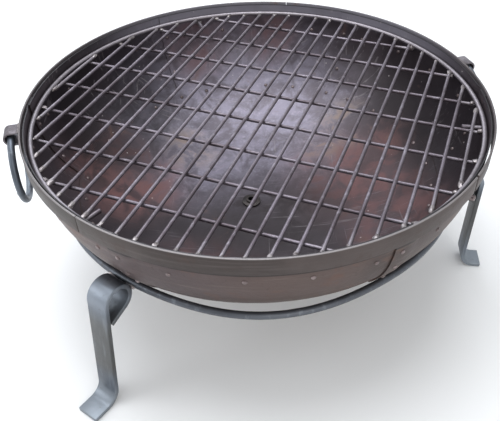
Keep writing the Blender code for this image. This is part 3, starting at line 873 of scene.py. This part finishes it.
peg_height = GRILL_HEIGHT - HOOP_BAR - WELD_GAP - PEG_RADIUS
wall = dish_point(RIM_TOP - peg_height + PEG_RADIUS, SHEET)[0]
welds = bmesh.new()
for number, azimuth in enumerate(PEG_AZIMUTHS, 1):
    shape = bmesh.new()
    root = wall - WELD_GAP
    ends = [polar(root, azimuth, peg_height), polar(root - PEG_LENGTH, azimuth, peg_height)]
    rod(shape, ends, PEG_RADIUS, 20, 0.2)
    fit(f"peg_{number}", shape, [BAR_STEEL], "bowl", "bar_steel", f"grill_peg_{number}")
    for turn in (-0.8, 0.0, 0.8):
        place = polar(wall - 0.0022, azimuth + turn, peg_height - 0.0030 + 0.0012 * abs(turn))
        bead(welds, place, PEG_BEAD, azimuth)
fit("peg_welds", welds, [WELD_METAL], "bowl", "bar_steel")


# The drain: a turned and blackened socket with a flange and a raised boss inside the bowl,
# held by a ring nut on its threaded tail below.
DRAIN_BORE = 0.0055
SOCKET_RADIUS = 0.010
FLANGE_RADIUS = 0.018
FLANGE_HEIGHT = 0.003
BOSS_HEIGHT = 0.007
TAIL_LENGTH = 0.016
NUT_RADIUS = 0.018
NUT_HEIGHT = 0.008
THREAD_PITCH = 0.0015
THREAD_DEPTH = 0.0004
FITTING_ARRIS = 0.0005
NUT_CLEARANCE = 0.0005
NUT_SLOT_DEPTH = 0.0018
NUT_SLOT_TURN = 16


def fitting_finish():
    made, place = new_finish("drain_fitting")
    broad = place.cloud(45.0, 4.0)
    fine = place.cloud(320.0, 4.0, 0.6)
    colour = broad.rise(0.38, 0.62).paint((0.026, 0.023, 0.023, 1), (0.072, 0.062, 0.058, 1))
    colour = (fine.rise(0.58, 0.70) * 0.5).paint(colour, (0.115, 0.070, 0.048, 1))
    # Painted shade: the drain's bore and its edge made near black.
    bore_painted_shade = place.beside((DRAIN_PLACE, 0, 0), DRAIN_BORE + 0.0004, DRAIN_BORE + 0.0013)
    colour = (bore_painted_shade * 0.95).paint(colour, (0.004, 0.004, 0.004, 1))
    return set_finish(made, colour, 0.40 + broad * 0.22 + bore_painted_shade * 0.3, 0.60, fine, 0.0004)


DRAIN_FITTING = fitting_finish()


def turned_shape(profile, steps):
    """A ring turned about the drain's upright axis from (radius, height) points."""
    made = bmesh.new()
    verts = [made.verts.new((DRAIN_PLACE + radius, 0, height)) for radius, height in profile]
    edges = [made.edges.new((verts[i - 1], verts[i])) for i in range(len(verts))]
    bmesh.ops.spin(
        made, geom=verts + edges, cent=(DRAIN_PLACE, 0, 0), axis=(0, 0, 1),
        angle=2 * pi, steps=steps, use_merge=True,
    )
    return made


plate_foot = RIM_TOP - BOWL_DEPTH + SHEET + WELD_GAP
plate_top = RIM_TOP - BOWL_DEPTH + 2 * (SHEET + WELD_GAP)
flange_foot = plate_top + BOWL_DEPTH - depth_at(abs(DRAIN_PLACE) + FLANGE_RADIUS)
flange_top = flange_foot + FLANGE_HEIGHT
boss_top = flange_foot + BOSS_HEIGHT
tail_foot = plate_foot - TAIL_LENGTH
profile = [
    (DRAIN_BORE, boss_top), (SOCKET_RADIUS, boss_top), (SOCKET_RADIUS, flange_top),
    (FLANGE_RADIUS, flange_top), (FLANGE_RADIUS, flange_foot), (SOCKET_RADIUS, flange_foot),
]
thread = between(flange_foot - 0.0005, tail_foot, 2 * round(TAIL_LENGTH / THREAD_PITCH))
profile += [
    (SOCKET_RADIUS - (THREAD_DEPTH if i % 2 else 0), height) for i, height in enumerate(thread)
]
profile.append((DRAIN_BORE, tail_foot))
shape = turned_shape(profile, 48)
ease(shape, FITTING_ARRIS, 2, 60)
fit("drain_boss", shape, [DRAIN_FITTING], "bowl", "fitting_steel", "drain_socket")

nut_bore = SOCKET_RADIUS + NUT_CLEARANCE
nut_top = plate_foot - WELD_GAP
nut_foot = nut_top - NUT_HEIGHT
shape = turned_shape([
    (nut_bore, nut_top), (NUT_RADIUS, nut_top), (NUT_RADIUS, nut_foot), (nut_bore, nut_foot),
], 48)
for vert in shape.verts:
    turn = degrees(atan2(vert.co.y, vert.co.x - DRAIN_PLACE))
    from_drain = hypot(vert.co.x - DRAIN_PLACE, vert.co.y)
    if from_drain > nut_bore + 0.001 and turn % 60 < NUT_SLOT_TURN:
        outward = (vert.co.xy - Vector((DRAIN_PLACE, 0))).normalized()
        vert.co.xy -= outward * NUT_SLOT_DEPTH
ease(shape, 0.0006)
fit("drain_nut", shape, [DRAIN_FITTING], "bowl", "fitting_steel", "drain_ring_nut")


# The handle straps: two 28 x 3 mm flats bent round the bar of a ring, with both tails welded
# to the band. The flats are pitted, with bright cut edges.
HANDLE_AZIMUTHS = (-168.0, 17.0)
HANDLE_BAR = 0.006
EYE_RADIUS = 0.009
EYE_OUT = 0.015
STRAP_THICKNESS = 0.003
STRAP_WIDTH = 0.028
STRAP_TOP_DROP = 0.004
STRAP_BEAD = (0.0022, 0.0030, 0.0020)
EYE_HEIGHT = RIM_TOP - STRAP_TOP_DROP - EYE_RADIUS - STRAP_THICKNESS


def strap_finish():
    made, place = new_finish("handle_strap")
    broad = place.cloud(26.0, 4.0)
    pitted = place.cloud(230.0, 5.0, 0.7)
    colour = broad.rise(0.38, 0.62).paint((0.130, 0.116, 0.124, 1), (0.235, 0.215, 0.230, 1))
    colour = (pitted.rise(0.52, 0.66) * 0.6).paint(colour, (0.055, 0.040, 0.036, 1))
    return set_finish(made, colour, 0.38 + pitted * 0.24, 0.72, pitted, 0.0010)


STRAP_STEEL = strap_finish()

middle = EYE_RADIUS + STRAP_THICKNESS / 2
bend = [radians(turn) for turn in between(90, -90, 26)]
strap_line = [Vector((WELD_GAP - EYE_OUT, middle)), Vector((-EYE_OUT / 2, middle))]
strap_line += [middle * Vector((cos(turn), sin(turn))) for turn in bend]
strap_line += [Vector((-EYE_OUT / 2, -middle)), Vector((WELD_GAP - EYE_OUT, -middle))]
welds = bmesh.new()
for number, azimuth in enumerate(HANDLE_AZIMUTHS, 1):
    shape = strap_shape(strap_line, STRAP_THICKNESS, STRAP_WIDTH, 0.0006)
    turn = Matrix.Rotation(radians(azimuth), 4, "Z")
    place = Matrix.Translation(polar(RIM_RADIUS + EYE_OUT, azimuth, EYE_HEIGHT)) @ turn
    bmesh.ops.transform(shape, verts=shape.verts, matrix=place)
    name = f"handle_strap_{number}"
    fit(f"eye_{number}", shape, [STRAP_STEEL], "bowl", "band_steel", name)
    for up in (-1, 1):
        for side in between(-0.012, 0.012, 5):
            at = azimuth + degrees(side / RIM_RADIUS)
            height = EYE_HEIGHT + up * (middle + 0.0020)
            if height + STRAP_BEAD[0] < RIM_TOP:
                bead(welds, polar(RIM_RADIUS + 0.0008, at, height), STRAP_BEAD, at)
fit("eye_welds", welds, [WELD_METAL], "bowl", "band_steel")


# The handle rings: 12 mm round bar bent to 120 mm rings and welded shut, hanging free in the
# straps. The same mill scale as the stand.
HANDLE_RING_RADIUS = 0.060

for number, azimuth in enumerate(HANDLE_AZIMUTHS, 1):
    shape = bmesh.new()
    hoop(shape, HANDLE_RING_RADIUS, HANDLE_BAR, 0.0, 96, 18)
    weld_turn = radians(74)
    for vert in shape.verts:
        turn = atan2(vert.co.y, vert.co.x)
        close = max(0.0, 1 - abs(turn - weld_turn) / 0.085)
        core = Vector((cos(turn), sin(turn), 0)) * HANDLE_RING_RADIUS
        swell = 0.12 * smooth(close) * (1 + noise.noise(vert.co * 260))
        vert.co += (vert.co - core) * swell
    upright = Matrix.Rotation(pi / 2, 4, "Y")
    hung = Matrix.Translation(polar(RIM_RADIUS + EYE_OUT, azimuth, EYE_HEIGHT))
    hung = hung @ Matrix.Rotation(radians(azimuth), 4, "Z")
    hung = hung @ Matrix.Translation((0, 0, -HANDLE_RING_RADIUS)) @ upright
    bmesh.ops.transform(shape, verts=shape.verts, matrix=hung)
    name = f"handle_ring_{number}"
    fit(f"drop_ring_{number}", shape, [MILL_SCALE], f"handle_{number}", "stand_steel", name)


# The grill: an 8 mm round bar hoop on eight 6 mm cross bars, with twenty-five 6 mm long bars
# inside it that lie on the cross bars. All the bars have settled a little at the middle.
HOOP_RADIUS = (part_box("grill_hoop")[1].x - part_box("grill_hoop")[0].x) / 2 - HOOP_BAR
GRILL_BAR = 0.003
GRILL_BAR_COUNT = 25
GRILL_BAR_MARGIN = 0.0112
GRILL_BAR_SHIFT = 0.0047
CROSS_BAR = 0.003
CROSS_COUNT = 8
CROSS_MARGIN = 0.0714
CROSS_SHIFT = 0.0075
GRILL_TURN = 68.7
GRILL_SAG = 0.0008
BAR_STATIONS = 14
END_BEAD = Vector((0.0088, 0.0037, 0.0030))
SIDE_BEAD = Vector((0.0040, 0.0050, 0.0030))
CROSSING_BEAD = (0.0022, 0.0024, 0.0017)

inside = HOOP_RADIUS - HOOP_BAR - WELD_GAP
cross_height = GRILL_HEIGHT - HOOP_BAR - WELD_GAP - CROSS_BAR
bar_height = cross_height + CROSS_BAR + WELD_GAP + GRILL_BAR


def settled(place):
    share = min(hypot(place.x, place.y) / inside, 1.0)
    return place - Vector((0, 0, GRILL_SAG * (1 - share * share)))


def on_grill(along, side, height):
    """A point by its distance along the long bars and across them."""
    turn = radians(GRILL_TURN)
    return Vector((
        along * cos(turn) - side * sin(turn), along * sin(turn) + side * cos(turn), height,
    ))


shape = bmesh.new()
hoop(shape, HOOP_RADIUS, HOOP_BAR, GRILL_HEIGHT, 220, 16)
for vert in shape.verts:
    reach = hypot(vert.co.x, vert.co.y)
    vert.co.xy *= 1 + 0.0005 * noise.noise(vert.co * 9) * (HOOP_RADIUS / reach)
fit("hoop_of_grill", shape, [BAR_STEEL], "grill", "bar_steel", "grill_hoop")

welds = bmesh.new()
chance = Random(5)
bar_spread = inside - GRILL_BAR - GRILL_BAR_MARGIN
cross_spread = inside - CROSS_BAR - CROSS_MARGIN
bar_sides = [GRILL_BAR_SHIFT + s for s in between(-bar_spread, bar_spread, GRILL_BAR_COUNT - 1)]
cross_places = [CROSS_SHIFT + s for s in between(-cross_spread, cross_spread, CROSS_COUNT - 1)]
for number, side in enumerate(bar_sides, 1):
    reach = sqrt(inside ** 2 - (abs(side) + GRILL_BAR) ** 2)
    bow = chance.uniform(-0.0010, 0.0010)
    line = []
    for share in between(-1.0, 1.0, BAR_STATIONS):
        line.append(settled(on_grill(reach * share, side + bow * (1 - share * share), bar_height)))
    shape = bmesh.new()
    rod(shape, line, GRILL_BAR, 14)
    name = f"grill_bar_{number:02d}"
    fit(f"long_bar_{number:02d}", shape, [BAR_STEEL], "grill", "bar_steel", name)
    for end in (-1, 1):
        size = chance.uniform(0.8, 1.25)
        place = on_grill(end * (reach - 0.0030), side, bar_height + 0.0006)
        bead(welds, place, END_BEAD * size, GRILL_TURN)
for number, along in enumerate(cross_places, 1):
    reach = sqrt(HOOP_RADIUS ** 2 - (abs(along) + CROSS_BAR) ** 2)
    line = []
    for share in between(-1.0, 1.0, BAR_STATIONS):
        line.append(settled(on_grill(along, reach * share, cross_height)))
    shape = bmesh.new()
    rod(shape, line, CROSS_BAR, 14)
    name = f"grill_cross_bar_{number}"
    fit(f"cross_bar_{number}", shape, [BAR_STEEL], "grill", "bar_steel", name)
    for end in (-1, 1):
        size = chance.uniform(0.9, 1.3)
        place = on_grill(along, end * (reach - 0.0052), cross_height + 0.0025)
        bead(welds, place, SIDE_BEAD * size, GRILL_TURN)
fit("grill_end_welds", welds, [WELD_METAL], "grill", "bar_steel")

welds = bmesh.new()
for along in cross_places:
    for side in bar_sides:
        if hypot(along, side) < inside - 0.012:
            lean = chance.choice((-1, 1))
            place = on_grill(along + lean * 0.0024, side + 0.0024, (bar_height + cross_height) / 2)
            bead(welds, settled(place), CROSSING_BEAD, GRILL_TURN, 1)
fit("grill_cross_welds", welds, [BAR_STEEL], "grill", "bar_steel")
